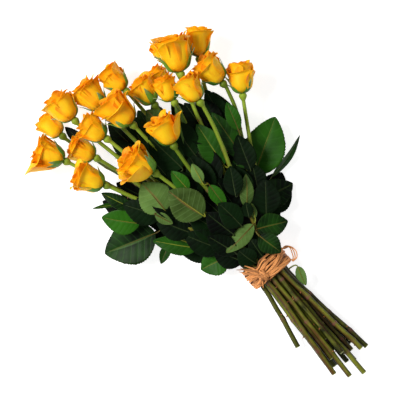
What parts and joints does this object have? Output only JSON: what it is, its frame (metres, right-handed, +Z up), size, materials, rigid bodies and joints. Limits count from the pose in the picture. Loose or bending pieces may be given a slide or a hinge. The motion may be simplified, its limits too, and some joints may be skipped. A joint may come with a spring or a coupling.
{
  "type": "bunch of yellow roses",
  "caption": "Hand-tied bunch of long-stemmed, half-open yellow roses with dark leaves, lying on its side and bound at the stems with raffia.",
  "frame": {"origin": "middle of the foot of the bounding box, on the surface the bunch lies on", "axes": "+Y along the bunch from the cut ends to the flowers, +X across it, +Z up from the surface"},
  "size_m": [0.286, 0.5018, 0.1042],
  "materials": {
    "petal": "soft matte golden-yellow petals, deeper orange in the folds",
    "stem": "smooth green stem with a waxy sheen and a red-brown sunny side",
    "leaf": "dark green, satin above with pale veins, pale matte grey-green below",
    "raffia": "dry fibrous orange-tan raffia strands"
  },
  "bodies": {
    "root": {"rose_01_stem": "stem", "rose_01_bloom": "petal", "rose_02_stem": "stem", "rose_02_bloom": "petal", "rose_03_stem": "stem", "rose_03_bloom": "petal", "rose_04_stem": "stem", "rose_04_bloom": "petal", "rose_05_stem": "stem", "rose_05_bloom": "petal", "rose_06_stem": "stem", "rose_06_bloom": "petal", "rose_07_stem": "stem", "rose_07_bloom": "petal", "rose_08_stem": "stem", "rose_08_bloom": "petal", "rose_09_stem": "stem", "rose_09_bloom": "petal", "rose_10_stem": "stem", "rose_10_bloom": "petal", "rose_11_stem": "stem", "rose_11_bloom": "petal", "rose_12_stem": "stem", "rose_12_bloom": "petal", "rose_13_stem": "stem", "rose_13_bloom": "petal", "rose_14_stem": "stem", "rose_14_bloom": "petal", "rose_15_stem": "stem", "rose_15_bloom": "petal", "rose_16_stem": "stem", "rose_16_bloom": "petal", "rose_17_stem": "stem", "rose_17_bloom": "petal", "rose_18_stem": "stem", "rose_18_bloom": "petal", "rose_19_stem": "stem", "rose_19_bloom": "petal", "rose_20_stem": "stem", "rose_20_bloom": "petal", "raffia_band": "raffia", "raffia_knot": "raffia", "leaf_01": "leaf", "leaf_02": "leaf", "leaf_03": "leaf", "leaf_04": "leaf", "leaf_05": "leaf", "leaf_06": "leaf", "leaf_07": "leaf", "leaf_08": "leaf", "leaf_09": "leaf", "leaf_10": "leaf", "leaf_11": "leaf", "leaf_12": "leaf", "leaf_13": "leaf", "leaf_14": "leaf", "leaf_15": "leaf", "leaf_16": "leaf", "leaf_17": "leaf", "leaf_18": "leaf"}
  },
  "joints": []
}
